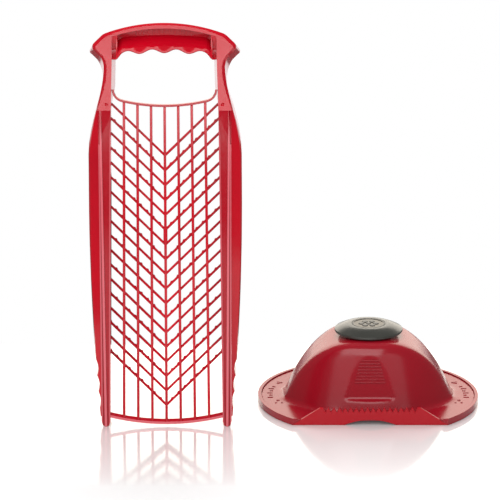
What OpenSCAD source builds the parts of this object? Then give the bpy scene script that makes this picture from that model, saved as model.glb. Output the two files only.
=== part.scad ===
/* [Grater frame] */
// Height of the standing grater, feet to handle top
grater_h = 361; // [350:1:375]
// Half the widest width over the wings
wing_half_w = 66.1; // [64:0.1:70]
// Height at which the wings are widest
wing_wide_z = 196; // [180:1:210]
// Slope of the wings' front faces, back for each millimetre outwards
wing_lean = 0.7; // [0.5:0.05:0.9]
// Radius of the long outward bow of the wings
wing_bow_r = 2118; // [1800:10:3000]
// Half the width of the neck under the handle
neck_half_w = 52.8; // [52:0.1:55]
// How far below the handle's top the wings begin to draw in to the neck
wing_end_drop = 117; // [112:1:122]
// How far below the handle's top the neck is narrowest
neck_drop = 38; // [36:1:41]
// Depth of the wings
wing_depth = 28; // [25:0.5:32]
// Half the distance over the outer faces of the rails
rail_half_w = 57; // [56:0.1:58]
// Depth of the rails, which is also the depth of the feet
rail_depth = 22; // [20:0.5:25]
// Half the clear width between the rails at their foot
grid_half_low = 49.2; // [48.5:0.1:50]
// Half the clear width between the rails at their top
grid_half_high = 45.9; // [45:0.1:46.5]
// How far below the handle's top the rails meet the necks
joint_drop = 76; // [73:1:81]
// Wall thickness of the frame
wall = 2.2; // [1.8:0.1:2.6]
// Height of the ridges on the rail faces
ridge_h = 1.4; // [0.8:0.1:1.8]
// Height of the pointed finger notches on the wing edges
notch_h = 1.7; // [1:0.1:2.2]
// Distance between two finger notches
notch_pitch = 14.6; // [14:0.1:15.2]
// Height of the lowest finger notch
notch_z = 16.3; // [15:0.1:18]

/* [Handle] */
// Radius of the handle's top arc
handle_r = 145; // [130:1:170]
// Half the length of the scooped grip
grip_half_w = 39.5; // [36:0.5:40]
// Depth of the handle from front to back
handle_depth = 26; // [24:0.5:30]
// Depth of the scoop inside the handle
scoop_depth = 11; // [10:0.5:12.5]
// Height of the front lip of the handle
lip_h = 4.2; // [3.5:0.1:5]
// Drop of the handle's roof for each millimetre of depth
roof_drop = 0.4; // [0.3:0.01:0.45]
// Distance between two finger waves
finger_pitch = 20.8; // [19:0.1:22]
// Height of a finger wave
finger_wave = 1.7; // [1:0.1:2.2]
// Number of plain ribs in the scoop
panel_ribs = 11; // [7:2:15]

/* [Grid] */
// Number of guide bars
bar_n = 7; // [7:1:7]
// Width of a guide bar
bar_w = 2.3; // [1.8:0.1:2.6]
// Depth of a guide bar
bar_d = 3.4; // [3:0.1:4]
// Number of knives
knife_n = 18; // [18:1:18]
// Height of the lowest knife's point
knife_z0 = 20.3; // [19:0.1:22]
// Height between two knives
knife_pitch = 13.27; // [13:0.01:13.4]
// Rise of a knife arm in degrees
knife_angle = 44; // [42:0.5:45]
// Thickness of a knife
knife_t = 2.05; // [1.6:0.05:2.3]
// Depth of a knife from its cutting edge to its back
knife_d = 6; // [5:0.1:7]
// Rake of a knife, back edge down, in degrees
knife_rake = 16; // [10:1:20]
// Distance between two knife teeth along the arm
tooth_pitch = 7.6; // [7:0.1:9]
// Height of a knife tooth
tooth_h = 1.2; // [0.8:0.1:1.6]
// Thickness of the two crossbars
crossbar_t = 1.8; // [1.5:0.1:2.2]
// Radius of the top crossbar
top_bar_r = 156; // [150:1:170]
// How far below the handle's top the top crossbar hangs at its middle
top_bar_drop = 72.5; // [71:0.1:74]
// Radius of the bottom crossbar
low_bar_r = 200; // [190:1:220]
// Height of the bottom crossbar at its middle
low_bar_z = 2.9; // [2.5:0.1:4]
// Depth of the bottom crossbar
low_bar_d = 4.4; // [3.5:0.1:6]
// How far the bottom crossbar's top rises towards its back
low_bar_rise = 1.7; // [1:0.1:2.5]

/* [Food holder] */
// Distance between the middles of the grater and the food holder
holder_gap_x = 178.5; // [172:0.5:200]
// Distance of the food holder's middle behind the grater's face
holder_gap_y = 74.7; // [74.7:0.1:90]
// Radius of the brim
brim_r = 98.3; // [95:0.1:102]
// Distance of the comb's face in front of the middle of the brim
comb_y = 70.7; // [69:0.1:73]
// Height of the underside of the brim
brim_z = 2.5; // [2:0.1:3]
// Thickness of the brim
brim_t = 2.5; // [2:0.1:3]
// Width of the bead around the brim
bead_w = 3; // [2:0.1:4]
// Height of the bead around the brim
bead_h = 6; // [5.6:0.1:7]
// Thickness of the comb plate
comb_t = 3; // [2.5:0.1:4]
// Height of the comb plate
comb_h = 15.5; // [14:0.1:18]
// Half the width of the comb plate's top
comb_top_half = 44.3; // [42:0.1:46]
// Number of comb notches
comb_n = 17; // [15:1:17]
// Distance between two comb notches
comb_pitch = 4.9; // [4.5:0.05:4.95]
// Depth of a comb notch
comb_cut = 4.2; // [3:0.1:6]
// Height of the dome's flat top
dome_h = 63.8; // [62:0.1:66]
// Width of the brim beside the dome
brim_land = 21; // [18:0.5:24]
// How far behind the middle the curve of the dome's front is centred
dome_offset = 22.9; // [15:0.1:30]
// How far the dome's front and back lean in for each millimetre of height
dome_lean = 0.34; // [0.25:0.01:0.42]
// Wall thickness of the dome
dome_wall = 2.2; // [1.8:0.1:2.4]
// Depth of the thumb recesses at their foot
recess_d = 4; // [2:0.1:5]

/* [Plunger] */
// Radius of the push knob
knob_r = 30.3; // [27:0.1:31]
// Height of the push knob
knob_h = 7.7; // [6.5:0.1:10]
// Radius of the plunger stem
stem_r = 7; // [6:0.1:8]
// Running fit between stem and sleeve
stem_fit = 0.05; // [0.03:0.01:0.1]
// Wall of the guide sleeve
sleeve_wall = 3; // [2.5:0.1:4]
// Travel of the plunger
stroke = 30; // [25:0.5:30]
// Radius of the pin plate
plate_r = 28; // [25:0.5:29]
// Thickness of the pin plate
plate_t = 3; // [2.5:0.1:4]
// Height of the pin tips at rest
pin_tip_z = 4; // [3.5:0.1:5]
// Length of the holding pins below the plate
pin_len = 11; // [9:0.1:12]
// Radius of a holding pin
pin_r = 0.9; // [0.7:0.05:1.1]
// Radius of the stem screw
screw_r = 1.6; // [1.2:0.1:2]

/* [Hidden] */
$fn = 64;
red = [0.75, 0.03, 0.14];
wine = [0.6, 0.13, 0.19];
far = 400;
thin = 0.01;
neck_z0 = grater_h - wing_end_drop;
neck_z1 = grater_h - neck_drop;
joint_z = grater_h - joint_drop;
top_bar_z = grater_h - top_bar_drop;
// Middle of the whole set, so that it stands centred on its own footprint
box_x0 = -wing_half_w;
box_x1 = holder_gap_x + brim_r;
box_y1 = holder_gap_y + brim_r;
shift = [-(box_x0 + box_x1) / 2, -box_y1 / 2, 0];
// Front faces inside the frame, behind the crests of the rail ridges
face_y = ridge_h;
grid_y = face_y + 0.4;
bar_pitch_high = grid_half_high / 3.96;
bar_pitch_low = grid_half_low / 3.96;
arc_top_z = grater_h - handle_r;
handle_end = grip_half_w + 5.1;
web_y = 4.5;
end_wall = 1.5;
end_step = 0.3;
corner_x = 63;
corner_z = grater_h - 20.5;
shoulder_x = 51.9;
shoulder_z = grater_h - 9.6;
neck_bend_z = neck_z1 + 7;
neck_flare_in = 2.6;
window_top_half = handle_end - 4.6;
neck_flare_out = 3.4;
bevel = 2.6;
bevel_top = 1.3;
bevel_d = 3;
wing_z0 = 9;
top_fillet_r = 10;
pad_w = 3.5;
pad_z = 168;
pad_h = 11.5;
foot_w = 5;
foot_x = 53;
foot_h = 16;
// The ridge down the middle of each rail: its middle at the foot, its bow outwards, and its two widths
ridge_x0 = 53.1;
ridge_bow = 2;
ridge_w0 = 2;
ridge_w1 = 1.6;
ramp_h = 22;
inner_lip_w = 1.4;
outer_lip_w = 1.3;
rib_h = 5;
scoop_lean = 1.6;
rib_pitch = 4.6;
dome_z0 = brim_z + brim_t;
dome_half_w = brim_r - brim_land;
dome_r = norm([dome_half_w, dome_offset]) + 4;
dome_face = dome_r - dome_offset;
// Half outline of the arch over the dome, as parts of its half width and of its height
dome_arch = [[1.02, -0.1], [0.977, 0.08], [0.918, 0.256], [0.845, 0.431], [0.756, 0.583], [0.664, 0.715],
    [0.569, 0.815], [0.479, 0.89], [0.388, 0.943], [0.285, 0.98], [0.168, 1]];
recess_z0 = 17;
recess_top = dome_h - 9;
recess_half = 21.6;
recess_top_half = 10.5;
thumb_rib_z = 31.4;
thumb_rib_pitch = 2.7;
comb_half = sqrt(brim_r * brim_r - comb_y * comb_y);
comb_arch_r = 57.3;
comb_arch_h = 4.6;
mark_r = brim_r - bead_w - 10;
mark_h = 0.4;
plate_z = pin_tip_z + pin_len;
stem_z0 = plate_z + plate_t;
knob_z0 = dome_h + 0.2;
knob_lift = 0.8;
sleeve_z0 = stem_z0 + stroke + 0.3;
sleeve_r = stem_r + stem_fit + sleeve_wall;
emblem_r = 14.8;
emblem_h = 0.6;
screw_len = 12;

function unit(v) = v / norm(v);
function arc(cx, cy, r, a0, a1, n = 12) =
    [for (i = [0:n]) let (a = a0 + (a1 - a0) * i / n) [cx + r * cos(a), cy + r * sin(a)]];
// Rounds the corner at p between the points before and after it
function corner(before, p, after, r, n = 6) =
    let (u = unit(before - p), v = unit(after - p), half = acos(u * v) / 2)
    let (c = p + unit(u + v) * r / sin(half))
    let (t0 = p + u * r / tan(half) - c, t1 = p + v * r / tan(half) - c)
    let (a0 = atan2(t0[1], t0[0]), turn = atan2(t1[1], t1[0]) - a0)
    let (a1 = a0 + (turn > 180 ? turn - 360 : turn < -180 ? turn + 360 : turn))
    arc(c[0], c[1], r, a0, a1, n);
// A path given as [x, z, corner radius] with its corners rounded
function rounded(pts) = [for (i = [0:len(pts) - 1]) let (p = [pts[i][0], pts[i][1]])
    each (i == 0 || i == len(pts) - 1 || pts[i][2] == 0 ? [p]
        : corner([pts[i - 1][0], pts[i - 1][1]], p, [pts[i + 1][0], pts[i + 1][1]], pts[i][2]))];
function reverse(v) = [for (i = [len(v) - 1:-1:0]) v[i]];
function normal_at(path, i) =
    let (d = unit(path[min(i + 1, len(path) - 1)] - path[max(i - 1, 0)])) [d[1], -d[0]];
function moved(path, d) = [for (i = [0:len(path) - 1]) path[i] + normal_at(path, i) * d];
function smooth(t) = let (c = max(0, min(1, t))) c * c * (3 - 2 * c);
// Half the width of the frame's outline at a height
function notch(z) = z < notch_z || z > notch_z + 3 * notch_pitch ? 0
    : -notch_h * abs(sin(180 * (z - notch_z) / notch_pitch));
function half_w(z) = wing_half_w - pow(z - wing_wide_z, 2) / (2 * wing_bow_r) * (z < wing_wide_z ? 1 : 0.3)
    - (wing_half_w - neck_half_w) * smooth((z - neck_z0) / (neck_z1 - neck_z0)) + notch(z);
function inner_x(z) = grid_half_low + (grid_half_high - grid_half_low) * z / joint_z;
function top_arc_z(x, r) = arc_top_z + sqrt(r * r - x * x);
// Outline of the right neck, from the rail's top to the roof of the handle
function neck_path() = rounded(concat(
    [for (i = [0:7]) let (z = joint_z + (neck_z1 - joint_z) * i / 7) [half_w(z), z, 0]],
    [[neck_half_w, neck_bend_z, 14], [corner_x, corner_z, 4.4], [shoulder_x, shoulder_z, 12],
     [handle_end, top_arc_z(handle_end, handle_r), 0]]));
function bevel_at(p) = p[1] > corner_z ? bevel_top + (bevel - bevel_top) * smooth((abs(p[0]) - 30) / 25)
    : bevel - 1.6 * (1 - smooth((p[1] - joint_z) / 30));
function is_end(p) = abs(abs(p[0]) - handle_end) < thin && p[1] > corner_z;
function outward(path, i) = i == 0 ? [1, 0] : is_end(path[i]) ? [0, 1] : normal_at(path, i);
function neck_in_x(z) =
    max(handle_end, inner_x(joint_z) - (inner_x(joint_z) - handle_end) * (z - joint_z) / (joint_drop - 28));
// Section through a neck: chamfered outer wall leaning out and down, face plate, and inner wall
function neck_section(path, i) =
    let (p = path[i], n = outward(path, i), last = len(path) - 1)
    let (end_z = top_arc_z(handle_end, handle_r) - lip_h)
    let (qz = i < 8 ? p[1] : neck_z1 + (end_z - neck_z1) * (i - 7) / (last - 7))
    let (q = [neck_in_x(qz), qz], m = unit(p - q) * min(wall, 0.2 * norm(p - q)))
    let (f = smooth((p[1] - joint_z) / 35), out = abs(n[0]) * neck_flare_out * smooth((p[1] - joint_z - 20) / 30))
    let (a = p - n * bevel_at(p), k = p - n * (wall + 0.7))
    let (c = p + [out, -roof_drop * (handle_depth - bevel_d) * f], d = c - n * wall)
    let (g = smooth((qz - joint_z) / 15) * (1 - smooth((qz - neck_z1) / 15)) * neck_flare_in)
    let (up = smooth((qz - neck_bend_z) / (end_z - neck_bend_z)))
    let (deep = handle_depth + (wall + 0.2 - handle_depth) * up)
    [[a[0], 0, a[1]], [p[0], bevel_d, p[1]], [c[0], handle_depth, c[1]], [d[0], handle_depth, d[1]],
     [k[0], wall, k[1]], [q[0] + m[0], wall, q[1] + m[1]], [q[0] + m[0] - g, deep, q[1] + m[1]],
     [q[0] - g, deep, q[1]], [q[0], 0, q[1]]];
function grip_z(x) = grater_h - 24.3 - 0.0016 * x * x - 3 * smooth((abs(x) - 36) / 5);
function wave_z(x) = grip_z(x) - finger_wave * cos(360 * x / finger_pitch);
function roof_z(x, y) = top_arc_z(x, handle_r) - roof_drop * max(0, y - bevel_d);
// Section through the handle: leaning roof, front lip, and the scoop with its wavy floor or its closed end
function handle_section(x) =
    let (zt = top_arc_z(x, handle_r), zw = wave_z(x), back = scoop_depth + wall)
    let (rise = 0.4, zb = zw + 2.2, zl = zt - lip_h, zr = roof_z(x, scoop_depth) - wall)
    let (zf = grip_z(x) + finger_wave + 2.2, web = abs(x) > grip_half_w + end_wall + end_step / 2 ? web_y - 0.5 : 0)
    let (open = [[0.6, zb], [scoop_depth * 0.1, zf + 0.3], [scoop_depth * 0.4, zf + 3],
        [scoop_depth * 0.75, zf + 6], [scoop_depth, zf + 8], [scoop_depth - scoop_lean, zr],
        [scoop_depth * 0.6, zr * 0.75 + zl * 0.25], [scoop_depth * 0.3, zr * 0.35 + zl * 0.65], [0.6, zl]])
    let (closed = [for (k = [0:8])
        [0.5 + web * smooth((8 - k) / 6) + 0.4 * sin(22.5 * k), zb + (zl - zb) * k / 8]])
    let (ring = concat([[0, zt - bevel_at([x, zt])], [bevel_d, zt], [handle_depth, roof_z(x, handle_depth)],
        [handle_depth, roof_z(x, handle_depth) - wall], [back, roof_z(x, back) - wall], [back, zb + 8],
        [back - 1.6, zb + 4.6], [scoop_depth * 0.5, zw + rise * scoop_depth * 0.5], [1, zw], [0, zw + 0.9]],
        abs(x) < grip_half_w + thin ? open : closed, [[0, zl]]))
    [for (p = ring) [x, p[0], p[1]]];
// Section through a wing: a leaning front face, a rounded edge, and a wall that runs back
function wing_section(z) =
    let (w = max(rail_half_w + 0.6, half_w(z)), m = w - rail_half_w, y0 = face_y + 0.6, y1 = y0 + wall + 0.5)
    let (d = rail_depth + (wing_depth - rail_depth) * smooth((z - wing_z0) / 40))
    let (x = max(w - wall, rail_half_w + 0.3))
    [[rail_half_w, y0, z], [rail_half_w + 0.85 * m, y0 + wing_lean * 0.85 * m, z],
     [w, y0 + wing_lean * 0.85 * m + 0.25 * m + 1, z], [w, d, z], [x, d, z],
     [x, y1 + wing_lean * (x - rail_half_w), z], [rail_half_w, y1, z]];
// Closes a row of sections, each a ring of points, into a solid
module loft(sections) {
    n = len(sections[0]);
    m = len(sections);
    polyhedron(
        points = [for (s = sections) each s],
        faces = concat(
            [[for (j = [0:n - 1]) j]], [[for (j = [n - 1:-1:0]) (m - 1) * n + j]],
            [for (i = [0:m - 2]) for (j = [0:n - 1]) let (k = (j + 1) % n)
                let (a = i * n, b = a + n) each [[a + j, b + j, a + k], [a + k, b + j, b + k]]]));
}
// Stands an outline drawn in x and z up, and gives it a depth from y0 backwards
module slab(y0, depth) translate([0, y0 + depth, 0]) rotate([90, 0, 0]) linear_extrude(depth) children();
// Extrudes an outline drawn in y and z across the width
module across(half) translate([-half, 0, 0]) rotate([90, 0, 90]) linear_extrude(2 * half) children();
module on_side(s) mirror([s > 0 ? 0 : 1, 0, 0]) children();
module both_sides() for (s = [1, -1]) on_side(s) children();

module neck(s) translate(shift) color(red) on_side(s) {
    path = neck_path();
    loft([for (i = [0:len(path) - 1]) neck_section(path, i)]);
}

module wing(s) translate(shift) color(red) on_side(s) {
    top = notch_z + 3 * notch_pitch;
    loft([for (z = concat([wing_z0, 12.5], [for (i = [0:18]) notch_z + i * notch_pitch / 6],
        [for (i = [1:22]) top + (joint_z - top) * i / 22])) wing_section(z)]);
}

function ridge_x(z) = ridge_x0 + ridge_bow * pow(max(0, z - 60) / (joint_z - 60), 1.6);
function ridge_edge(side) = [for (i = [0:14]) let (z = joint_z * i / 14)
    [ridge_x(z) + side * (ridge_w0 + (ridge_w1 - ridge_w0) * i / 14) / 2, z]];
module rail_ridge() polygon(concat(ridge_edge(1), reverse(ridge_edge(-1))));
module foot_outline() polygon(rounded([
    [rail_half_w + thin, far, 0], [rail_half_w + thin, foot_h, 0], [rail_half_w - 0.1, 5, 4],
    [foot_x + foot_w / 2, 0, 1.8],
    [foot_x - foot_w / 2, 0, 1.8], [grid_half_low - 1.6, 9, 3], [inner_x(foot_h) - thin, foot_h + 4, 0],
    [inner_x(far) - 3, far, 0]]));
// Strip of a rail's face beside the grid
module inner_strip(w) polygon([[inner_x(0), 0], [inner_x(0) + w, 0], [inner_x(joint_z) + w, joint_z],
    [inner_x(joint_z), joint_z]]);
module rail(s) translate(shift) color(red) on_side(s) intersection() {
    union() {
        slab(face_y, wall)
            polygon([[inner_x(0), 0], [rail_half_w, 0], [rail_half_w, joint_z], [inner_x(joint_z), joint_z]]);
        slab(face_y, rail_depth - face_y)
            inner_strip(wall);
        slab(face_y, 12) translate([rail_half_w - wall, 0]) square([wall, joint_z]);
        slab(face_y, rail_depth - face_y) translate([inner_x(0), 0]) square([rail_half_w - inner_x(0), wall]);
        slab(0.5, face_y) translate([rail_half_w - outer_lip_w, 0]) square([outer_lip_w, joint_z - 30]);
        slab(0.6, face_y)
            inner_strip(inner_lip_w);
        slab(0, ridge_h) rail_ridge();
        translate([inner_x(joint_z - ramp_h), 0, 0]) rotate([90, 0, 90])
            linear_extrude(rail_half_w - inner_x(joint_z - ramp_h))
                polygon([[face_y, joint_z - ramp_h], [0.02, joint_z], [face_y + 0.2, joint_z]]);
    }
    slab(-1, far) foot_outline();
}

module handle_shell() translate(shift) color(red) {
    half = concat([for (i = [0:24]) grip_half_w * i / 24],
        [for (d = [end_step, end_wall, end_wall + end_step]) grip_half_w + d], [handle_end]);
    loft([for (x = concat(reverse(half), [for (i = [1:len(half) - 1]) -half[i]])) handle_section(x)]);
}
module handle_rib_panel() translate(shift) color(red) for (i = [0:panel_ribs - 1])
    let (x = (i - (panel_ribs - 1) / 2) * rib_pitch)
        translate([x - 0.8, scoop_depth - scoop_lean, roof_z(x, scoop_depth) - wall])
            rotate([atan(scoop_lean / 9), 0, 0]) translate([0, -0.6, -0.5 - rib_h]) cube([1.6, 0.6, rib_h]);

module top_crossbar() translate(shift) color(red) {
    r = top_bar_r;
    side_x = neck_in_x(top_bar_z + 14) - neck_flare_in * (face_y + 4) / handle_depth;
    fillet_x = side_x - top_fillet_r - crossbar_t / 2 - thin;
    fillet_z = top_bar_z + r - sqrt(pow(r - top_fillet_r, 2) - fillet_x * fillet_x);
    a = asin(fillet_x / (r - top_fillet_r));
    end = arc(fillet_x, fillet_z, top_fillet_r, 0, -90 + a, 8);
    middle = arc(0, top_bar_z + r, r, -90 + a, -90 - a, 32);
    path = concat(end, [for (i = [1:31]) middle[i]], reverse([for (p = end) [-p[0], p[1]]]));
    slab(face_y, 4) polygon(concat(moved(path, crossbar_t / 2), reverse(moved(path, -crossbar_t / 2))));
}
module window_cut(y0, depth) slab(y0, depth)
    polygon([[-inner_x(0), 0], [inner_x(0), 0], [inner_x(joint_z), joint_z], [window_top_half, grater_h - 28],
        [-window_top_half, grater_h - 28], [-inner_x(joint_z), joint_z]]);
function bar_x(i, z) = (i - (bar_n - 1) / 2) * (bar_pitch_low + (bar_pitch_high - bar_pitch_low) * z / joint_z);
module bar_outline(i) polygon([
    [bar_x(i, 0) - bar_w / 2, 0], [bar_x(i, 0) + bar_w / 2, 0],
    [bar_x(i, far) + bar_w / 2, far], [bar_x(i, far) - bar_w / 2, far]]);
module bottom_crossbar() translate(shift) color(red) difference() {
    intersection() {
        translate([0, face_y - 0.6 + low_bar_d, low_bar_z + low_bar_r]) rotate([90, 0, 0]) rotate([0, 0, -110])
            rotate_extrude(angle = 40, $fn = 256)
                polygon([[low_bar_r + 1, 0], [low_bar_r + 1, low_bar_d], [low_bar_r - 1, low_bar_d],
                    [low_bar_r - 1 - low_bar_rise, 0]]);
        window_cut(-1, far);
    }
    slab(grid_y, bar_d) for (k = [0:bar_n - 1]) bar_outline(k);
}
module below_top_crossbar() difference() {
    translate([-100, 0, 0]) cube([200, 50, far]);
    translate([0, -1, top_bar_z + top_bar_r]) rotate([-90, 0, 0])
        cylinder(r = top_bar_r + crossbar_t / 2, h = far, $fn = 256);
}
module guide_bar(i) translate(shift) color(red) intersection() {
    slab(grid_y, bar_d) {
        bar_outline(i);
        if (i == (bar_n - 1) / 2) {
            for (z = [pad_z, pad_z + pad_h]) translate([0, z]) circle(pad_w / 2);
            translate([-pad_w / 2, pad_z]) square([pad_w, pad_h]);
        }
    }
    translate([0, 0, low_bar_z + low_bar_r]) rotate([-90, 0, 0]) cylinder(r = low_bar_r + 1, h = far, $fn = 256);
    below_top_crossbar();
}
// Outline of a V knife, with or without teeth on its upper edge
module knife_outline(toothed) {
    slope = tan(knife_angle);
    rise = knife_t / cos(knife_angle);
    reach = grid_half_low + 3;
    step = tooth_pitch * cos(knife_angle);
    teeth = toothed ? [for (x = [3.5:step:grid_half_low]) each [[x, x * slope + rise],
        [x + 0.8, (x + 0.8) * slope + rise + tooth_h], [x + 2.4, (x + 2.4) * slope + rise]]] : [];
    arm = concat([[reach, reach * slope], [reach, reach * slope + rise]], reverse(teeth));
    polygon(concat([[0, 0]], arm, [[0, rise]], [for (p = reverse(arm)) [-p[0], p[1]]]));
}
module knife(i, toothed) translate(shift) color(red) difference() {
    intersection() {
        translate([0, grid_y - 1, knife_z0 + i * knife_pitch - knife_t]) rotate([-knife_rake, 0, 0])
            slab(0, knife_d + 1) knife_outline(toothed);
        window_cut(grid_y, far);
        below_top_crossbar();
    }
    slab(-1, grid_y + bar_d + 1) for (k = [0:bar_n - 1]) bar_outline(k);
    slab(-1, grid_y + bar_d + 1) translate([-pad_w / 2, pad_z - pad_w / 2]) square([pad_w, pad_h + pad_w]);
}

module at_holder() translate(shift) translate([holder_gap_x, holder_gap_y, 0]) children();
function arch_side(t) = moved([for (p = dome_arch) [p[0] * dome_half_w, p[1] * dome_h]], -t);
// The dome's outer or inner shape, less the given wall: an arch from side to side between two leaning faces
module dome_shape(t, z0, z1) intersection() {
    slab(-100, 200) polygon(concat(arch_side(t), reverse([for (p = arch_side(t)) [-p[0], p[1]]])));
    translate([0, dome_offset, z0])
        cylinder(r1 = dome_r - dome_lean * z0 - t, r2 = dome_r - dome_lean * z1 - t, h = z1 - z0, $fn = 128);
    translate([0, -dome_offset, z0])
        cylinder(r1 = dome_r - dome_lean * z0 - t, r2 = dome_r - dome_lean * z1 - t, h = z1 - z0, $fn = 128);
}
recess_lean = dome_lean - recess_d / (recess_top - recess_z0);
function recess_floor(z) = dome_face - dome_lean * recess_z0 - recess_d - recess_lean * (z - recess_z0);
// Thumb recess in the front face, grown by t for the wall behind it
module recess(t) for (s = [0, 180]) rotate([0, 0, s]) intersection() {
    slab(-100, 100) polygon(rounded([[-recess_half - t, recess_z0 - t, 0], [recess_half + t, recess_z0 - t, 0],
        [recess_top_half + t, recess_top + t, 9], [-recess_top_half - t, recess_top + t, 9]]));
    across(60) polygon([[-recess_floor(recess_z0 - t) + t, recess_z0 - t],
        [-recess_floor(recess_top) + t, recess_top], [-recess_floor(recess_top) + t + 0.5, recess_top + 8],
        [-100, recess_top + 8], [-100, recess_z0 - t]]);
}
module holder_dome() color(wine) at_holder() difference() {
    dome_shape(0, dome_z0, dome_h);
    difference() {
        dome_shape(dome_wall, dome_z0 - 1, dome_h - dome_wall);
        recess(dome_wall);
    }
    recess(0);
    cylinder(r = sleeve_r, h = 100);
}
module guide_sleeve() color(wine) at_holder() difference() {
    translate([0, 0, sleeve_z0]) cylinder(r = sleeve_r, h = dome_h - sleeve_z0);
    cylinder(r = stem_r + stem_fit, h = 100);
}
module comb_plate(t) polygon([[-comb_half - t, 0], [comb_half + t, 0], [comb_top_half + t, comb_h],
    [-comb_top_half - t, comb_h]]);
// Room that the comb takes, with everything in front of it
module comb_room() {
    translate([-110, -200 - comb_y, -1]) cube([220, 200, 60]);
    slab(-comb_y - 1, comb_t + 1) translate([0, -0.02]) comb_plate(0.05);
}
module holder_brim() color(wine) at_holder() difference() {
    translate([0, 0, brim_z]) cylinder(r = brim_r - bead_w, h = brim_t, $fn = 128);
    comb_room();
    difference() {
        dome_shape(dome_wall, 0, 20);
        recess(dome_wall);
    }
}
module brim_rim() color(wine) at_holder() difference() {
    cylinder(r = brim_r, h = bead_h, $fn = 128);
    translate([0, 0, -1]) cylinder(r = brim_r - bead_w, h = bead_h + 2, $fn = 128);
    comb_room();
}
module comb_blade() color(wine) at_holder() difference() {
    slab(-comb_y, comb_t) comb_plate(0);
    slab(-comb_y - 1, comb_t + 2) {
        for (i = [0:comb_n - 1]) let (x = (i - (comb_n - 1) / 2) * comb_pitch)
            polygon([[x - comb_pitch / 2, comb_h + 0.5], [x, comb_h - comb_cut],
                [x + comb_pitch / 2, comb_h + 0.5]]);
        intersection() {
            translate([0, comb_arch_h - comb_arch_r]) circle(comb_arch_r, $fn = 128);
            translate([-40, -1]) square([80, 20]);
        }
    }
}
module guide_ribs() color(wine) at_holder() both_sides()
    translate([rail_half_w + 1, -50, 0.3]) cube([2.2, 100, brim_z - 0.3]);
module thumb_ribs(s) color(wine) at_holder() rotate([0, 0, s]) for (i = [0:7]) {
    z = thumb_rib_z + i * thumb_rib_pitch;
    translate([0, -recess_floor(z), z]) rotate([-atan(recess_lean), 0, 0])
        translate([-13.5 + i * 0.7, -0.6, 0]) cube([27 - i * 1.4, 0.6, 0.9]);
}
module brim_marks() color([0.5, 0.06, 0.1]) at_holder() both_sides() translate([0, 0, dome_z0]) {
    rotate([0, 0, 22.7]) translate([mark_r, 0, 0]) rotate([0, 0, 67.3]) linear_extrude(mark_h)
        polygon([[-3, -2.6], [3, -2.6], [0, 2.6]]);
    for (p = [[-12, -3, 1.5], [-17.3, -4.6, 0.9], [-16.2, 0.6, 0.9]]) rotate([0, 0, p[0]])
        translate([mark_r + p[1], 0, 0]) cylinder(r = p[2], h = mark_h);
    for (i = [0:5]) rotate([0, 0, -6 + 4 * i]) translate([mark_r, 0, 0]) cube([i % 2 == 0 ? 5 : 3, 0.8, mark_h]);
}

module knob() color([0.25, 0.26, 0.25]) at_holder() {
    top = knob_z0 + knob_h;
    difference() {
        rotate_extrude($fn = 128) polygon(concat(
            [[0, knob_z0], [knob_r - 2.4, knob_z0], [knob_r - 1.6, knob_z0 + knob_lift]],
            [[knob_r - 0.5, knob_z0 + knob_lift], [knob_r, knob_z0 + 1.6], [knob_r - 0.2, knob_z0 + 3]],
            [for (i = [1:8]) let (r = knob_r - 0.2 - (knob_r - emblem_r - 0.9) * i / 8)
                [r, knob_z0 + 3 + (knob_h - 3) * sin(90 * i / 8)]],
            [[emblem_r + 0.2, top], [emblem_r, top - emblem_h], [0, top - emblem_h]]));
        translate([0, 0, knob_z0 - 1]) cylinder(r = stem_r, h = 3);
    }
}
module knob_emblem() color("silver") at_holder() translate([0, 0, knob_z0 + knob_h - emblem_h]) {
    difference() {
        cylinder(r = emblem_r - 0.2, h = emblem_h);
        translate([0, 0, 0.25]) cylinder(r = emblem_r - 1.6, h = emblem_h);
    }
    for (a = [0:60:300]) rotate([0, 0, a]) translate([6.4, 0, 0.25]) cylinder(r = 2.6, h = emblem_h - 0.15);
    translate([0, 0, 0.25]) cylinder(r = 2.2, h = emblem_h - 0.15);
}
module plunger_stem() color("dimgray") at_holder() difference() {
    translate([0, 0, stem_z0]) cylinder(r = stem_r, h = knob_z0 + 2 - stem_z0);
    translate([0, 0, stem_z0 - 1]) cylinder(r = screw_r, h = screw_len + 1);
}
module pin_plate() color("dimgray") at_holder() difference() {
    translate([0, 0, plate_z]) cylinder(r = plate_r, h = plate_t);
    translate([0, 0, plate_z - 1]) cylinder(r = screw_r, h = plate_t + 2);
}
module holding_pins() color("silver") at_holder() {
    for (a = [0:45:315]) rotate([0, 0, a]) translate([plate_r - 5, 0, 0]) pin();
    for (a = [45:90:315]) rotate([0, 0, a]) translate([plate_r / 2, 0, 0]) pin();
}
module pin() translate([0, 0, pin_tip_z]) {
    cylinder(r1 = 0.2, r2 = pin_r, h = 2.5);
    translate([0, 0, 2.5]) cylinder(r = pin_r, h = pin_len - 2.5);
}
module stem_screw() color("silver") at_holder() {
    translate([0, 0, plate_z - 2]) cylinder(r = screw_r * 2.2, h = 2);
    translate([0, 0, plate_z - thin]) cylinder(r = screw_r, h = plate_t + screw_len - 1);
}

handle_shell();
handle_rib_panel();
neck(-1);  // left_neck
neck(1);  // right_neck
rail(-1);  // left_rail
rail(1);  // right_rail
wing(-1);  // left_wing
wing(1);  // right_wing
top_crossbar();
bottom_crossbar();
for (i = [1:bar_n]) guide_bar(i - 1);
for (i = [1:knife_n / 2]) knife(knife_n + 1 - 2 * i, false);
for (i = [1:knife_n / 2]) knife(knife_n - 2 * i, true);
holder_dome();
holder_brim();
brim_rim();
brim_marks();
comb_blade();
guide_sleeve();
guide_ribs();
thumb_ribs(0);  // front_thumb_ribs
thumb_ribs(180);  // back_thumb_ribs
knob();
knob_emblem();
plunger_stem();
pin_plate();
holding_pins();
stem_screw();
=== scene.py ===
"""V-pattern hand grater with its food holder: glossy mouldings, holding device and studio."""

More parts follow.
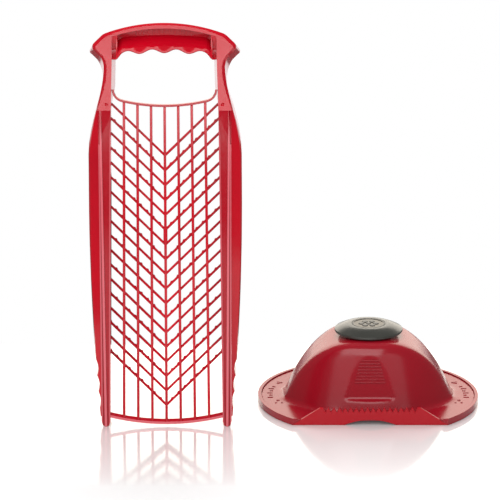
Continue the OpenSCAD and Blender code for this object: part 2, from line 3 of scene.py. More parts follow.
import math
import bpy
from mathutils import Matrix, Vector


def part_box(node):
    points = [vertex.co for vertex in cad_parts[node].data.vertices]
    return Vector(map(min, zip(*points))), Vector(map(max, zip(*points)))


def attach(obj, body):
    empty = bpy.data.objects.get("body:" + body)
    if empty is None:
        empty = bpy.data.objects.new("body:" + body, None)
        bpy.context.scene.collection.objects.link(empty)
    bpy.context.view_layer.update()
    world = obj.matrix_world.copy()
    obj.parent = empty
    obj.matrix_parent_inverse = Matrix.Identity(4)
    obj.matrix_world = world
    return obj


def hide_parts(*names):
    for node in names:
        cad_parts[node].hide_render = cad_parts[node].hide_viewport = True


bl_info = {
    "name": "V-pattern hand grater with food holder",
    "version": (1, 0, 0),
    "blender": (4, 5, 0),
    "location": "3D View > Sidebar > Grater",
    "description": "Dresses the grater, its food holder and its plunger, and sets up the studio",
    "category": "Object",
}

import bmesh
import bpy
from mathutils import Vector

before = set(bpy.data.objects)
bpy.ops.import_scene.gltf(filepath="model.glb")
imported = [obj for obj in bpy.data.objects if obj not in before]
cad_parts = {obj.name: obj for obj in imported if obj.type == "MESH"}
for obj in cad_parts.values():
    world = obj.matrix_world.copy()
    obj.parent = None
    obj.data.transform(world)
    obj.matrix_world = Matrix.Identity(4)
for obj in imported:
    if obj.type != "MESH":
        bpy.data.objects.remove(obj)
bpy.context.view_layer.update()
MM = 0.001
# Middle of the grater's front face at the floor, and middle of the holder's brim
GRATER = Vector((-105.35, -86.5, 0)) * MM
HOLDER = Vector((73.15, -11.8, 0)) * MM
# Height at which the rails meet the necks, and half the distance between the handle's ends
RAIL_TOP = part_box("left_rail")[1][2]
HANDLE_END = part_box("handle_shell")[1][0] - GRATER.x
# The thumb recess, in millimetres: heights of its foot and its top, and half its widths there
RECESS_FOOT, RECESS_TOP, RECESS_FOOT_HALF, RECESS_TOP_HALF = 17, 54.8, 21.6, 10.5
# In millimetres: by how much the smoothing of the holder's shell keeps off the recess at its sides
# and above it, and how long the smoothing takes to grow to full strength from there
BESIDE_RECESS, BESIDE_FADE, ABOVE_RECESS, ABOVE_FADE = 1.5, 4, 0.5, 3
# Places less far than this in front of or behind the dome's middle are clear of both recesses
RECESS_CLEAR = 30
# The smoothing ends at this radius of the brim, and at this distance in front of its middle, where
# the comb's foot is; each with the length over which it fades
BRIM_SMOOTH_R, BRIM_FADE, COMB_FOOT, COMB_FADE = 86, 5, 62, 4
# Low on the dome it is weaker: it grows from the height FOOT_START over FOOT_RISE, and is never
# less than FOOT_SHARE of its full strength
FOOT_SHARE, FOOT_START, FOOT_RISE = 0.25, 6, 12
# Up to this height a place belongs to the brim, or to the fillet above the brim
BRIM_REACH = 12
# Inner radius of the bead, and where the bead meets the comb: how far in front of the holder's
# middle and how far to its sides
BEAD_INNER_R, COMB_MEETS, COMB_MEETS_SIDE = 88 * MM, 64 * MM, 50 * MM
# How near a corner lies to a joint between two pieces, and how near each other corners are merged
ON_JOINT, MERGED = 0.05 * MM, 0.02 * MM
# Faces of a frame node that meet at less than this angle become one face
FLAT = math.radians(0.6)
# Place of the right neck's dimple, from the middle of the grater's foot
DIMPLE = Vector((49.7, 0, 290.3)) * MM
# Depth of the fine ripple that a moulding keeps from its mould
RIPPLE = 0.01 * MM
# Middle and size of the floor, which lies a little below the feet
FLOOR_PLACE, FLOOR_SIZE = (0, -0.25, -0.0002), (0.9, 0.8, 1)
# What most lamps point at, and the two tints of their light
MIDDLE, WHITE, WARM = (0, 0, 0.15), (1, 1, 1), (1, 0.92, 0.8)
# Lamps: name, place, aim, width, height, brightness, tint, and the kind of ray that misses the lamp
LAMPS = (("rear_panel", (0, 2.4, 0.8), (0, 0, 0.8), 3.2, 1.5, 1.9, WARM, None),
         ("rear_floor", (0, 1.4, -0.01), (0, 1.4, 1), 3, 1.2, 1.1, WHITE, "visible_camera"),
         ("high_rear", (0, 1.7, 2.0), MIDDLE, 2.0, 1.4, 4.6, WHITE, "visible_glossy"),
         ("zenith", (0, -0.4, 2.45), MIDDLE, 2.4, 1.3, 1.1, WHITE, "visible_glossy"),
         ("front", (-0.6, -2.6, 2.6), MIDDLE, 4.4, 2.4, 2.5, WHITE, None),
         ("wide_front", (0, -3.4, 1.65), (0, 0, 0.3), 9, 0.7, 0.9, WHITE, None),
         ("low_front", (GRATER.x, -1.42, 0.01), (GRATER.x, -1.42, 1), 1.3, 0.72, 3.8, WHITE, None))


def colour(red, green, blue):
    """A colour given in steps from 0 to 255, in the linear values that a shader wants."""
    def linear(value):
        part = value / 255
        return part / 12.92 if part <= 0.04045 else ((part + 0.055) / 1.055) ** 2.4
    return linear(red), linear(green), linear(blue)


def colour_setting(name, description, red, green, blue):
    return bpy.props.FloatVectorProperty(name=name, description=description, subtype="COLOR",
                                         size=3, min=0, max=1, default=colour(red, green, blue))


def length_setting(name, description, millimetres):
    return bpy.props.FloatProperty(name=name, description=description, subtype="DISTANCE",
                                   unit="LENGTH", min=0, default=millimetres * MM)


def number_setting(name, description, value):
    return bpy.props.FloatProperty(name=name, description=description, min=0, default=value)


def count_setting(name, description, value):
    return bpy.props.IntProperty(name=name, description=description, min=0, default=value)


class GraterColours(bpy.types.PropertyGroup):
    """Colours of the mouldings and fittings"""
    red: colour_setting("Grater red", "Body colour of the grater's moulding", 206, 8, 32)
    # Deep red: painted shade as the base of the rails, bars and knives; on the other red pieces it
    # is the partner of the random colour drift
    red_shade_and_drift: colour_setting("Grater red, deep", "Rails, bars, knives and thick places", 168, 3, 26)
    # Painted highlight: the pale pink stripe that light draws along the foremost crests of the
    # rails and crossbars
    crest_highlight: colour_setting("Rubbed crests", "Paler red where the holder slides", 214, 98, 108)
    wine: colour_setting("Holder red", "Body colour of the food holder", 154, 18, 34)
    wine_deep: colour_setting("Holder red, deep", "Thick places of the holder", 138, 10, 26)
    comb: colour_setting("Comb red", "Body colour of the comb", 176, 14, 30)
    comb_deep: colour_setting("Comb red, deep", "Thick places of the comb", 162, 10, 26)
    mark: colour_setting("Brim marks", "Dark red of the printed marks on the brim", 138, 12, 30)
    knob: colour_setting("Knob", "Dark grey of the push knob", 46, 47, 43)
    knob_worn: colour_setting("Knob, handled", "Where fingers have rubbed it", 60, 60, 55)
    emblem: colour_setting("Emblem", "Metal of the disc in the knob", 84, 80, 73)
    petal: colour_setting("Petals", "Dark enamel of the petals", 40, 40, 38)
    inner: colour_setting("Stem and plate", "Grey of the plunger inside the dome", 92, 92, 90)
    steel: colour_setting("Steel", "Pins and screw", 186, 188, 190)


class GraterSizes(bpy.types.PropertyGroup):
    """Roundings and small details that the frame leaves plain"""
    edge: length_setting("Frame edge", "Rounding of the frame's edges", 0.4)
    knife_edge: length_setting("Knife edge", "Rounding of the knives' and bars' edges", 0.16)
    # These five place the painted highlight on the crests: full up to the front depth, fading over
    # the further depth, and only below the crest top
    crest_depth: length_setting("Crest depth", "How much deeper the rails' rubbing ends", 1.1)
    rail_front: length_setting("Rail front", "Depth of the rails' fully rubbed crests", 0.1)
    bar_front: length_setting("Crossbar front", "Depth of the fully rubbed crossbar fronts", 1.0)
    bar_depth: length_setting("Crossbar depth", "How much deeper the crossbars' rubbing ends", 0.4)
    crest_top: length_setting("Crest top", "Height at which the rubbing ends", 276)
    dome_grid: length_setting("Shell mesh", "Mesh size that the holder's shell is smoothed at", 1.0)
    crown_passes: count_setting("Crown passes", "How often the dome's crown is smoothed", 260)
    firm_passes: count_setting("Firm passes", "How often the whole shell is smoothed after it", 8)
    bead_edge: length_setting("Bead rounding", "Rounding of the bead around the brim", 1.3)
    dimple: length_setting("Dimple", "Radius of the round dimple low on each neck", 1.5)
    dimple_depth: length_setting("Dimple depth", "Depth of the dimple", 1.0)
    petal_height: length_setting("Petal height", "Depth of the petals' dark enamel", 0.3)
    petal_circle: length_setting("Petal circle", "Radius that the petals lie within", 12)


class StudioSettings(bpy.types.PropertyGroup):
    """Camera, lamps, room and floor"""
    lens: bpy.props.FloatProperty(name="Lens", description="Focal length on a 36 mm sensor",
                                  default=266.8, min=20, unit="CAMERA")
    pitch: bpy.props.FloatProperty(name="Pitch", description="How far the camera looks down",
                                   subtype="ANGLE", default=math.radians(16.2))
    distance: length_setting("Distance", "From the camera to the aim", 3200)
    aim: bpy.props.FloatVectorProperty(name="Aim", description="Point the camera looks at", size=3,
                                       subtype="XYZ", unit="LENGTH",
                                       default=(73 * MM + GRATER.x, GRATER.y, 161 * MM))
    level: number_setting("Lamp level", "Scales every lamp", 1)
    air: number_setting("Air", "Even light of the room", 0.5)
    air_in_reflections: number_setting("Air in reflections", "Its brightness in reflections", 0.14)
    floor_white: number_setting("Floor white", "Share of light that the floor scatters", 0.76)
    floor_roughness: number_setting("Floor roughness", "Blur of the mirror image", 0.1)
    floor_ior: number_setting("Floor IOR", "Refractive index of the floor", 2.8)
    floor_lift: number_setting("Floor lift", "Light that the floor adds for the camera", 0.05)
    mirror: number_setting("Mirror", "Strength of the mirror image at the grater", 0.95)
    mirror_fade: length_setting("Mirror fade", "How far in front of the grater it ends", 155)


# ---------------------------------------------------------------- modelling helpers

def put_down():
    """Leaves edit mode with nothing selected."""
    if bpy.context.mode != "OBJECT":
        bpy.ops.object.mode_set(mode="OBJECT")
    bpy.ops.object.select_all(action="DESELECT")


def take_up(piece):
    put_down()
    piece.select_set(True)
    bpy.context.view_layer.objects.active = piece


def open_up(piece):
    take_up(piece)
    bpy.ops.object.mode_set(mode="EDIT")


def finish_with(piece, kind, **values):
    """Adds a modifier with these values and applies it."""
    take_up(piece)
    modifier = piece.modifiers.new(kind.lower(), kind)
    for key, value in values.items():
        setattr(modifier, key, value)
    bpy.ops.object.modifier_apply(modifier=modifier.name)


def round_edges(piece, width, segments=2, angle=22, joined=None):
    """Rounds the piece's sharp edges, but not where it runs on into its neighbour."""
    mesh = bmesh.new()
    mesh.from_mesh(piece.data)
    rounding = mesh.edges.layers.float.new("bevel_weight_edge")
    for edge in mesh.edges:
        if len(edge.link_faces) == 2 and edge.calc_face_angle(0) > math.radians(angle):
            edge[rounding] = 0 if joined and all(joined(corner.co) for corner in edge.verts) else 1
    mesh.to_mesh(piece.data)
    mesh.free()
    finish_with(piece, "BEVEL", width=width, segments=segments, limit_method="WEIGHT",
                use_clamp_overlap=True)


def shade(piece, angle=35):
    """Smooth shading that leaves the flat faces flat."""
    take_up(piece)
    bpy.ops.object.shade_smooth_by_angle(angle=math.radians(angle))
    finish_with(piece, "WEIGHTED_NORMAL", weight=80, keep_sharp=True)


def press_dimple(piece, place, radius, depth):
    """Presses a round dimple into the front of the piece."""
    ball = (radius * radius + depth * depth) / (2 * depth)
    put_down()
    bpy.ops.mesh.primitive_uv_sphere_add(segments=32, ring_count=20, radius=ball,
                                         location=place + Vector((0, depth - ball, 0)))
    punch = bpy.context.object
    finish_with(piece, "BOOLEAN", operation="DIFFERENCE", object=punch, solver="EXACT")
    bpy.data.objects.remove(punch)


def taken_from(node, name):
    """A copy of a frame node with merged corners and joined flat faces, as a piece of its own."""
    piece = bpy.data.objects.new(name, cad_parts[node].data.copy())
    bpy.context.scene.collection.objects.link(piece)
    piece.data.name = name
    piece.data.materials.clear()
    open_up(piece)
    bpy.ops.mesh.customdata_custom_splitnormals_clear()
    bpy.ops.mesh.select_all(action="SELECT")
    bpy.ops.mesh.remove_doubles(threshold=MERGED)
    bpy.ops.mesh.dissolve_limited(angle_limit=FLAT)
    put_down()
    return piece


def clad(piece, material, body, slot, *nodes):
    """Gives the piece its finish, hangs it on its body and hides the nodes it stands for."""
    piece.data.materials.clear()
    piece.data.materials.append(material)
    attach(piece, body)
    if nodes:
        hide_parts(*nodes)


# ---------------------------------------------------------------- finishes

def new_group(name, inputs, outputs):
    """A node group with these inputs and outputs, each a label and its kind of socket."""
    group = bpy.data.node_groups.new(name, "ShaderNodeTree")
    for side, sockets in (("INPUT", inputs), ("OUTPUT", outputs)):
        for label, kind in sockets.items():
            group.interface.new_socket(label, in_out=side, socket_type="NodeSocket" + kind)
    return group


def moulding_group():
    """Colour drift, polish and fine ripple of an injection moulding, as a node group."""
    name = "Moulding surface"
    if name in bpy.data.node_groups:
        return bpy.data.node_groups[name]
    group = new_group(name, {"Vector": "Vector", "Colour": "Color", "Deep colour": "Color",
                             "Flow scale": "Float", "Polish": "Float", "Scuff": "Float",
                             "Ripple scale": "Float"},
                      {"Colour": "Color", "Roughness": "Float", "Height": "Float"})
    nodes, links = group.nodes, group.links
    given, made = nodes.new("NodeGroupInput"), nodes.new("NodeGroupOutput")
    flow = nodes.new("ShaderNodeTexNoise")
    flow.inputs["Detail"].default_value = 3
    drift = nodes.new("ShaderNodeMix")
    drift.data_type = "RGBA"
    scuffs = nodes.new("ShaderNodeTexNoise")
    scuffs.inputs["Scale"].default_value = 160
    scuffs.inputs["Detail"].default_value = 5
    scuff_mask = nodes.new("ShaderNodeMapRange")
    scuff_mask.inputs["From Min"].default_value = 0.3
    scuff_mask.inputs["From Max"].default_value = 0.8
    scuffed = nodes.new("ShaderNodeMath")
    scuffed.operation = "MULTIPLY_ADD"
    ripple = nodes.new("ShaderNodeTexNoise")
    ripple.inputs["Detail"].default_value = 1
    for node in (flow, scuffs, ripple):
        links.new(given.outputs["Vector"], node.inputs["Vector"])
    links.new(given.outputs["Flow scale"], flow.inputs["Scale"])
    links.new(given.outputs["Ripple scale"], ripple.inputs["Scale"])
    links.new(flow.outputs["Fac"], drift.inputs["Factor"])
    links.new(given.outputs["Colour"], drift.inputs["A"])
    links.new(given.outputs["Deep colour"], drift.inputs["B"])
    links.new(scuffs.outputs["Fac"], scuff_mask.inputs["Value"])
    links.new(scuff_mask.outputs["Result"], scuffed.inputs[0])
    links.new(given.outputs["Scuff"], scuffed.inputs[1])
    links.new(given.outputs["Polish"], scuffed.inputs[2])
    links.new(drift.outputs["Result"], made.inputs["Colour"])
    links.new(scuffed.outputs["Value"], made.inputs["Roughness"])
    links.new(ripple.outputs["Fac"], made.inputs["Height"])
    return group


def crest_group():
    """Painted highlight: paler colour on what stands furthest forward, below a given height, as a
    node group.
    """
    name = "Rubbed crests"
    if name in bpy.data.node_groups:
        return bpy.data.node_groups[name]
    group = new_group(name, {"Vector": "Vector", "Colour": "Color", "Crest colour": "Color",
                             "Crest front": "Float", "Crest depth": "Float", "Crest top": "Float"},
                      {"Colour": "Color"})
    nodes, links = group.nodes, group.links
    given, made = nodes.new("NodeGroupInput"), nodes.new("NodeGroupOutput")
    parts = nodes.new("ShaderNodeSeparateXYZ")
    behind = nodes.new("ShaderNodeMath")
    behind.operation = "SUBTRACT"
    share = nodes.new("ShaderNodeMath")
    share.operation = "DIVIDE"
    # Share of painted highlight, from a place's depth behind the front
    rubbed = nodes.new("ShaderNodeMapRange")
    rubbed.interpolation_type = "SMOOTHSTEP"
    rubbed.inputs["To Min"].default_value = 1
    rubbed.inputs["To Max"].default_value = 0
    below = nodes.new("ShaderNodeMath")
    below.operation = "SUBTRACT"
    under_top = nodes.new("ShaderNodeMapRange")
    under_top.interpolation_type = "SMOOTHSTEP"
    under_top.inputs["From Max"].default_value = 0.02
    both = nodes.new("ShaderNodeMath")
    both.operation = "MULTIPLY"
    blend = nodes.new("ShaderNodeMix")
    blend.data_type = "RGBA"
    links.new(given.outputs["Vector"], parts.inputs["Vector"])
    links.new(given.outputs["Crest top"], below.inputs[0])
    links.new(parts.outputs["Z"], below.inputs[1])
    links.new(below.outputs["Value"], under_top.inputs["Value"])
    links.new(parts.outputs["Y"], behind.inputs[0])
    links.new(given.outputs["Crest front"], behind.inputs[1])
    links.new(behind.outputs["Value"], share.inputs[0])
    links.new(given.outputs["Crest depth"], share.inputs[1])
    links.new(share.outputs["Value"], rubbed.inputs["Value"])
    links.new(rubbed.outputs["Result"], both.inputs[0])
    links.new(under_top.outputs["Result"], both.inputs[1])
    links.new(both.outputs["Value"], blend.inputs["Factor"])
    links.new(given.outputs["Colour"], blend.inputs["A"])
    links.new(given.outputs["Crest colour"], blend.inputs["B"])
    links.new(blend.outputs["Result"], made.inputs["Colour"])
    return group


def moulded(name, shade_of, deep, polish=0.12, scuff=0.1, flow=18.0, ripple=60.0,
            ripple_height=0.0, ior=1.5, coat=0.0, coat_polish=0.04, metallic=0.0, crest_highlight=None,
            crest_front=0.0, crest_depth=0.0):
    """A moulded or pressed finish for one kind of piece."""
    if name in bpy.data.materials:
        return bpy.data.materials[name]
    material = bpy.data.materials.new(name)
    material.use_nodes = True
    material.diffuse_color = (*shade_of, 1)
    nodes, links = material.node_tree.nodes, material.node_tree.links
    shader = nodes["Principled BSDF"]
    place = nodes.new("ShaderNodeTexCoord")
    surface = nodes.new("ShaderNodeGroup")
    surface.node_tree = moulding_group()
    surface.inputs["Colour"].default_value = (*shade_of, 1)
    surface.inputs["Deep colour"].default_value = (*deep, 1)
    surface.inputs["Flow scale"].default_value = flow
    surface.inputs["Polish"].default_value = polish
    surface.inputs["Scuff"].default_value = scuff
    surface.inputs["Ripple scale"].default_value = ripple
    links.new(place.outputs["Object"], surface.inputs["Vector"])
    # Painted highlight on the foremost crests
    if crest_highlight:
        rubbed = nodes.new("ShaderNodeGroup")
        rubbed.node_tree = crest_group()
        rubbed.inputs["Crest colour"].default_value = (*crest_highlight, 1)
        rubbed.inputs["Crest front"].default_value = GRATER.y + crest_front
        rubbed.inputs["Crest depth"].default_value = crest_depth
        rubbed.inputs["Crest top"].default_value = bpy.context.scene.grater_sizes.crest_top
        links.new(place.outputs["Object"], rubbed.inputs["Vector"])
        links.new(surface.outputs["Colour"], rubbed.inputs["Colour"])
        links.new(rubbed.outputs["Colour"], shader.inputs["Base Color"])
    else:
        links.new(surface.outputs["Colour"], shader.inputs["Base Color"])
    links.new(surface.outputs["Roughness"], shader.inputs["Roughness"])
    if ripple_height:
        bump = nodes.new("ShaderNodeBump")
        bump.inputs["Strength"].default_value = 1
        bump.inputs["Distance"].default_value = ripple_height
        links.new(surface.outputs["Height"], bump.inputs["Height"])
        links.new(bump.outputs["Normal"], shader.inputs["Normal"])
    shader.inputs["IOR"].default_value = ior
    shader.inputs["Metallic"].default_value = metallic
    shader.inputs["Coat Weight"].default_value = coat
    shader.inputs["Coat Roughness"].default_value = coat_polish
    return material


def red_moulding():
    paint = bpy.context.scene.grater_colours
    return moulded("Red moulding", paint.red, paint.red_shade_and_drift, scuff=0.05, ripple_height=RIPPLE)


def grid_moulding():
    paint = bpy.context.scene.grater_colours
    # Bars and knives: deep red as painted shade, drifting at random towards the body red
    return moulded("Red grid moulding", paint.red_shade_and_drift, paint.red, scuff=0.05, ripple_height=RIPPLE)


def crest_highlight_moulding(name, crest_front, crest_depth):
    """The deep red moulding of the rails and the crossbars, whose crests the food holder slides on:
    the deep red is painted shade, and the crests take a painted highlight.
    """
    paint = bpy.context.scene.grater_colours
    return moulded(name, paint.red_shade_and_drift, paint.red_shade_and_drift, scuff=0.05, ripple_height=RIPPLE,
                   crest_highlight=paint.crest_highlight, crest_front=crest_front, crest_depth=crest_depth)


def wine_moulding():
    paint = bpy.context.scene.grater_colours
    return moulded("Wine red moulding", paint.wine, paint.wine_deep, polish=0.18, scuff=0.05,
                   flow=12)


def comb_moulding():
    paint = bpy.context.scene.grater_colours
    return moulded("Comb red moulding", paint.comb, paint.comb_deep, polish=0.3, scuff=0.05,
                   flow=20, ior=1.36)


# ---------------------------------------------------------------- grater

def at_a_joint(place):
    """Whether a corner lies where the rails, the necks and the handle run on into each other."""
    across, height = abs(place.x - GRATER.x), place.z
    at_rail_top = abs(height - RAIL_TOP) < ON_JOINT
    return at_rail_top or (abs(across - HANDLE_END) < ON_JOINT and height > RAIL_TOP)


class OBJECT_OT_grater_frame(bpy.types.Operator):
    """Handle, necks, rails, wings and crossbars of the grater, with rounded edges"""
    bl_idname = "object.grater_frame"
    bl_label = "Grater frame"

    def execute(self, context):
        sizes = context.scene.grater_sizes
        for node in ("handle_shell", "left_neck", "right_neck", "left_rail", "right_rail",
                     "left_wing", "right_wing", "top_crossbar", "bottom_crossbar",
                     "handle_rib_panel"):
            piece = taken_from(node, node.replace("_", "-"))
            round_edges(piece, sizes.edge, joined=at_a_joint)
            if "neck" in node:
                side = 1 if node.startswith("right") else -1
                place = GRATER + DIMPLE * Vector((side, 1, 1))
                press_dimple(piece, place, sizes.dimple, sizes.dimple_depth)
            shade(piece)
            # Rails and crossbars: deep red as painted shade, with a painted highlight on their
            # crests
            if "rail" in node:
                finish = crest_highlight_moulding("Red rail with painted crest highlight",
                                         sizes.rail_front, sizes.crest_depth)
            elif "crossbar" in node:
                finish = crest_highlight_moulding("Red crossbar with painted front highlight",
                                         sizes.bar_front, sizes.bar_depth)
            else:
                finish = red_moulding()
            clad(piece, finish, "grater", "red_plastic", node)
        return {"FINISHED"}


class OBJECT_OT_grater_grid(bpy.types.Operator):
    """Guide bars and V knives"""
    bl_idname = "object.grater_grid"
    bl_label = "Bars and knives"

    def execute(self, context):
        edge = context.scene.grater_sizes.knife_edge
        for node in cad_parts:
            if node.startswith(("guide_bar", "smooth_knife", "toothed_knife")):
                piece = taken_from(node, node.replace("_", "-"))
                round_edges(piece, edge * (2 if node.startswith("guide") else 1), segments=1)
                shade(piece)
                clad(piece, grid_moulding(), "grater", "red_plastic", node)
        return {"FINISHED"}


# ---------------------------------------------------------------- food holder

def at_the_comb(place):
    """Whether a corner lies where the bead runs on into the comb."""
    return place.y < HOLDER.y - COMB_MEETS and abs(place.x - HOLDER.x) > COMB_MEETS_SIDE


def ramp(value, width):
    """Rises from 0 to 1 as the value goes from 0 to the width."""
    return min(1, max(0, value / width))


def softness(place):
    """How much the holder's shell is smoothed: not in its thumb recesses nor at the brim's edge."""
    across, along = (place.x - HOLDER.x) / MM, (place.y - HOLDER.y) / MM
    height = place.z / MM
    climb = (height - RECESS_FOOT) / (RECESS_TOP - RECESS_FOOT)
    edge = RECESS_FOOT_HALF + (RECESS_TOP_HALF - RECESS_FOOT_HALF) * climb
    beside = ramp(abs(across) - edge - BESIDE_RECESS, BESIDE_FADE)
    above = ramp(height - RECESS_TOP - ABOVE_RECESS, ABOVE_FADE)
    from_recess = 1 if abs(along) < RECESS_CLEAR else max(beside, above)
    foot = max(FOOT_SHARE, ramp(height - FOOT_START, FOOT_RISE))
    if height > BRIM_REACH:
        return min(from_recess, foot)
    from_edge = ramp(BRIM_SMOOTH_R - math.hypot(across, along), BRIM_FADE)
    from_comb = ramp(COMB_FOOT + along, COMB_FADE)
    return min(from_recess, foot * min(from_edge, from_comb))


class OBJECT_OT_holder_shell(bpy.types.Operator):
    """Dome and brim of the food holder as one smooth moulding with its thumb recesses"""
    bl_idname = "object.holder_shell"
    bl_label = "Holder shell"

    def execute(self, context):
        sizes = context.scene.grater_sizes
        piece, brim = taken_from("holder_dome", "holder-shell"), taken_from("holder_brim", "brim")
        take_up(piece)
        brim.select_set(True)
        bpy.ops.object.join()
        finish_with(piece, "REMESH", mode="VOXEL", voxel_size=sizes.dome_grid,
                    use_smooth_shade=True)
        soft, firm = piece.vertex_groups.new(name="soft"), piece.vertex_groups.new(name="firm")
        for corner in piece.data.vertices:
            soft.add([corner.index], softness(corner.co), "REPLACE")
            outer = math.hypot(corner.co.x - HOLDER.x, corner.co.y - HOLDER.y) > BEAD_INNER_R
            at_comb = corner.co.y < HOLDER.y - COMB_MEETS
            firm.add([corner.index], 0 if outer or at_comb else 1, "REPLACE")
        finish_with(piece, "SMOOTH", factor=0.5, iterations=sizes.crown_passes, vertex_group="soft")
        finish_with(piece, "SMOOTH", factor=0.5, iterations=sizes.firm_passes, vertex_group="firm")
        take_up(piece)
        bpy.ops.object.vertex_group_remove(all=True)
        bpy.ops.object.shade_smooth()
        clad(piece, wine_moulding(), "food_holder", "wine_plastic", "holder_dome", "holder_brim")
        return {"FINISHED"}


class OBJECT_OT_holder_fittings(bpy.types.Operator):
    """Bead, comb, sleeve, ribs and marks of the food holder"""
    bl_idname = "object.holder_fittings"
    bl_label = "Holder bead, comb and ribs"

    def execute(self, context):
        sizes, paint = context.scene.grater_sizes, context.scene.grater_colours
        edges = {"brim_rim": sizes.bead_edge, "comb_blade": sizes.edge / 2,
                 "guide_sleeve": sizes.edge, "guide_ribs": sizes.edge,
                 "front_thumb_ribs": sizes.edge / 2, "back_thumb_ribs": sizes.edge / 2}
        for node, width in edges.items():
            piece = taken_from(node, node.replace("_", "-"))
            round_edges(piece, width, segments=4 if node == "brim_rim" else 2, joined=at_the_comb)
            shade(piece)
            clad(piece, wine_moulding(), "food_holder", "wine_plastic", node)
        bpy.data.objects["comb-blade"].data.materials[0] = comb_moulding()
        marks = taken_from("brim_marks", "brim-marks")
        clad(marks, moulded("Printed mark", paint.mark, paint.mark, polish=0.4), "food_holder",
             "mark_paint", "brim_marks")
        return {"FINISHED"}


class OBJECT_OT_holder_plunger(bpy.types.Operator):
    """Push knob with its metal disc, stem, pin plate, pins and screw"""
    bl_idname = "object.holder_plunger"
    bl_label = "Plunger"

    def execute(self, context):
        sizes, paint = context.scene.grater_sizes, context.scene.grater_colours
        dark = moulded("Dark knob", paint.knob, paint.knob_worn, polish=0.3, scuff=0.05, flow=40,
                       coat=0.5, coat_polish=0.16)
        metal = moulded("Emblem metal", paint.emblem, paint.emblem, polish=0.16, scuff=0.05,
                        metallic=1.0)
        ground = moulded("Petal enamel", paint.petal, paint.petal, polish=0.2, scuff=0.05)
        inner = moulded("Plunger grey", paint.inner, paint.knob, polish=0.4)
        steel = moulded("Steel", paint.steel, paint.inner, polish=0.25, metallic=1.0)
        pieces = (("knob", dark, "knob_plastic"), ("knob_emblem", metal, "emblem_metal"),
                  ("plunger_stem", inner, "inner_plastic"), ("pin_plate", inner, "inner_plastic"),
                  ("holding_pins", steel, "steel"), ("stem_screw", steel, "steel"))
        for node, finish, slot in pieces:
            piece = taken_from(node, node.replace("_", "-"))
            round_edges(piece, sizes.edge / 2)
            shade(piece)
            clad(piece, finish, "plunger", slot, node)
            if node == "knob_emblem":
                piece.data.materials.append(ground)
                enamel_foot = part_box(node)[1][2] - sizes.petal_height
                for face in piece.data.polygons:
                    from_axis = math.hypot(face.center.x - HOLDER.x, face.center.y - HOLDER.y)
                    raised = face.center.z > enamel_foot and from_axis < sizes.petal_circle
                    face.material_index = 1 if raised else 0
        return {"FINISHED"}


# ---------------------------------------------------------------- studio

def seen_share(nodes, links, *kinds):
    """1 for the kinds of ray named, and 0 for the others."""
    path = nodes.new("ShaderNodeLightPath")
    socket = path.outputs[kinds[0]]
    for kind in kinds[1:]:
        either = nodes.new("ShaderNodeMath")
        either.operation = "MAXIMUM"
        links.new(socket, either.inputs[0])
        links.new(path.outputs[kind], either.inputs[1])
        socket = either.outputs["Value"]
    return socket


def floor_white():
    """White acrylic that mirrors the object softly, lifted towards white for the camera."""
    studio = bpy.context.scene.grater_studio
    material = bpy.data.materials.new("Studio floor")
    material.use_nodes = True
    nodes, links = material.node_tree.nodes, material.node_tree.links
    shader = nodes["Principled BSDF"]
    shader.inputs["Base Color"].default_value = (*[studio.floor_white] * 3, 1)
    shader.inputs["Roughness"].default_value = studio.floor_roughness
    shader.inputs["IOR"].default_value = studio.floor_ior
    place = nodes.new("ShaderNodeNewGeometry")
    parts = nodes.new("ShaderNodeSeparateXYZ")
    near = nodes.new("ShaderNodeMapRange")
    near.interpolation_type = "SMOOTHSTEP"
    near.inputs["From Min"].default_value = GRATER.y - studio.mirror_fade
    near.inputs["From Max"].default_value = GRATER.y
    near.inputs["To Max"].default_value = studio.mirror
    links.new(place.outputs["Position"], parts.inputs["Vector"])
    links.new(parts.outputs["Y"], near.inputs["Value"])
    links.new(near.outputs["Result"], shader.inputs["Specular IOR Level"])
    shader.inputs["Emission Color"].default_value = (1, 1, 1, 1)
    level = nodes.new("ShaderNodeMath")
    level.operation = "MULTIPLY"
    level.inputs[1].default_value = studio.floor_lift
    links.new(seen_share(nodes, links, "Is Camera Ray", "Is Transmission Ray"), level.inputs[0])
    links.new(level.outputs["Value"], shader.inputs["Emission Strength"])
    return material


def studio_air(diffuse, glossy):
    """World that is white to the camera, gives even light, and is dim in reflections."""
    world = bpy.data.worlds.new("Studio air")
    world.use_nodes = True
    nodes, links = world.node_tree.nodes, world.node_tree.links
    background = nodes["Background"]
    background.inputs["Color"].default_value = (1, 1, 1, 1)
    glossy_part = nodes.new("ShaderNodeMapRange")
    glossy_part.inputs["To Min"].default_value = diffuse
    glossy_part.inputs["To Max"].default_value = glossy
    camera_part = nodes.new("ShaderNodeMix")
    camera_part.data_type = "FLOAT"
    camera_part.inputs["B"].default_value = 1
    links.new(seen_share(nodes, links, "Is Glossy Ray"), glossy_part.inputs["Value"])
    seen = seen_share(nodes, links, "Is Camera Ray", "Is Transmission Ray")
    links.new(seen, camera_part.inputs["Factor"])
    links.new(glossy_part.outputs["Result"], camera_part.inputs["A"])
    links.new(camera_part.outputs["Result"], background.inputs["Strength"])
    return world


def soft_lamp(name, place, aim, width, height, brightness, tint):
    """A large soft lamp at a place, turned to the aim; a brightness of 1 looks like white paper."""
    data = bpy.data.lights.new(name, "AREA")
    data.shape = "RECTANGLE"
    data.size, data.size_y = width, height
    data.color = tint
    data.energy = brightness * math.pi * width * height * bpy.context.scene.grater_studio.level
    lamp = bpy.data.objects.new(name, data)
    bpy.context.scene.collection.objects.link(lamp)
    lamp.location = place
    lamp.rotation_euler = (Vector(aim) - Vector(place)).to_track_quat("-Z", "Y").to_euler()
    return lamp


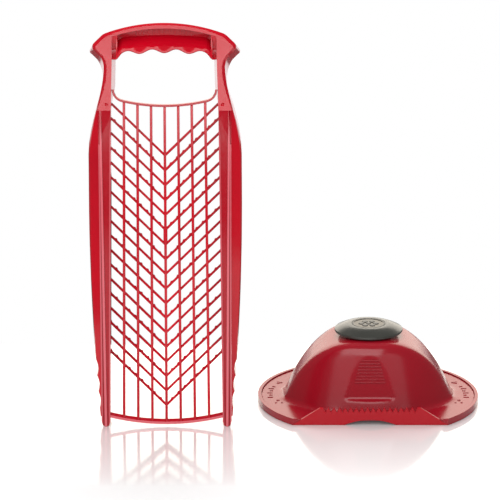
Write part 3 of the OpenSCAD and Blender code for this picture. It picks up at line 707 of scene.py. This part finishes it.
class SCENE_OT_grater_studio(bpy.types.Operator):
    """White floor and backdrop, soft lamps and the camera"""
    bl_idname = "scene.grater_studio"
    bl_label = "Studio"

    def execute(self, context):
        studio = context.scene.grater_studio
        put_down()
        bpy.ops.mesh.primitive_plane_add(size=1, location=FLOOR_PLACE)
        floor = context.object
        floor.name = "studio_floor"
        floor.scale = FLOOR_SIZE
        floor.data.materials.append(floor_white())
        for *values, hidden_by in LAMPS:
            lamp = soft_lamp(*values)
            if hidden_by:
                setattr(lamp, hidden_by, False)
        context.scene.world = studio_air(studio.air, studio.air_in_reflections)
        camera_data = bpy.data.cameras.new("camera")
        camera_data.lens = studio.lens
        camera_data.sensor_width = 36
        camera_data.clip_end = 50
        camera = bpy.data.objects.new("camera", camera_data)
        context.scene.collection.objects.link(camera)
        aim = Vector(studio.aim)
        away = Vector((0, -math.cos(studio.pitch), math.sin(studio.pitch)))
        camera.location = aim + studio.distance * away
        camera.rotation_euler = (math.pi / 2 - studio.pitch, 0, 0)
        context.scene.camera = camera
        context.scene.view_settings.view_transform = "Standard"
        return {"FINISHED"}


# ---------------------------------------------------------------- panel and main

OPERATORS = (SCENE_OT_grater_studio, OBJECT_OT_grater_frame, OBJECT_OT_grater_grid,
             OBJECT_OT_holder_shell, OBJECT_OT_holder_fittings, OBJECT_OT_holder_plunger)


class VIEW3D_PT_grater(bpy.types.Panel):
    """The grater's pieces and settings"""
    bl_label = "Grater"
    bl_idname = "VIEW3D_PT_grater"
    bl_space_type = "VIEW_3D"
    bl_region_type = "UI"
    bl_category = "Grater"

    def draw(self, context):
        for operator in OPERATORS:
            self.layout.operator(operator.bl_idname)
        scene = context.scene
        for settings in (scene.grater_sizes, scene.grater_colours, scene.grater_studio):
            box = self.layout.box()
            for name in settings.__annotations__:
                box.prop(settings, name)


CLASSES = (GraterColours, GraterSizes, StudioSettings, *OPERATORS, VIEW3D_PT_grater)


def register():
    for cls in CLASSES:
        bpy.utils.register_class(cls)
    bpy.types.Scene.grater_colours = bpy.props.PointerProperty(type=GraterColours)
    bpy.types.Scene.grater_sizes = bpy.props.PointerProperty(type=GraterSizes)
    bpy.types.Scene.grater_studio = bpy.props.PointerProperty(type=StudioSettings)


def unregister():
    for name in ("grater_colours", "grater_sizes", "grater_studio"):
        delattr(bpy.types.Scene, name)
    for cls in reversed(CLASSES):
        bpy.utils.unregister_class(cls)


def main():
    register()
    bpy.ops.scene.grater_studio()
    bpy.ops.object.grater_frame()
    bpy.ops.object.grater_grid()
    bpy.ops.object.holder_shell()
    bpy.ops.object.holder_fittings()
    bpy.ops.object.holder_plunger()
    put_down()


if __name__ == "__main__":
    main()
